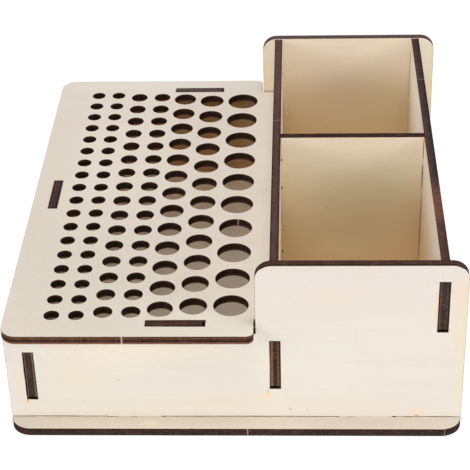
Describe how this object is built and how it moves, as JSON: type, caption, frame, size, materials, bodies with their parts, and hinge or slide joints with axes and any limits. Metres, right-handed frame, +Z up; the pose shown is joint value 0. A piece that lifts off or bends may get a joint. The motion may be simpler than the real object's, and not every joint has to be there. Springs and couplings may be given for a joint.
{
  "type": "tool holder block",
  "caption": "Open plywood block with a plate of graded holes for tools that stand upright and two deep bins beside it.",
  "frame": {"origin": "middle of the underside of the base plate", "axes": "+X to the right along the front, from the holes to the bins; +Y to the back; +Z up"},
  "size_m": [0.207, 0.2414, 0.0885],
  "materials": {
    "plywood": "bare pale plywood with laser-charred dark brown edges"
  },
  "bodies": {
    "root": {"base_plate": "plywood", "front_panel": "plywood", "back_panel": "plywood", "left_wall": "plywood", "partition_wall": "plywood", "right_wall": "plywood", "bin_divider": "plywood", "hole_plate": "plywood"}
  },
  "joints": []
}
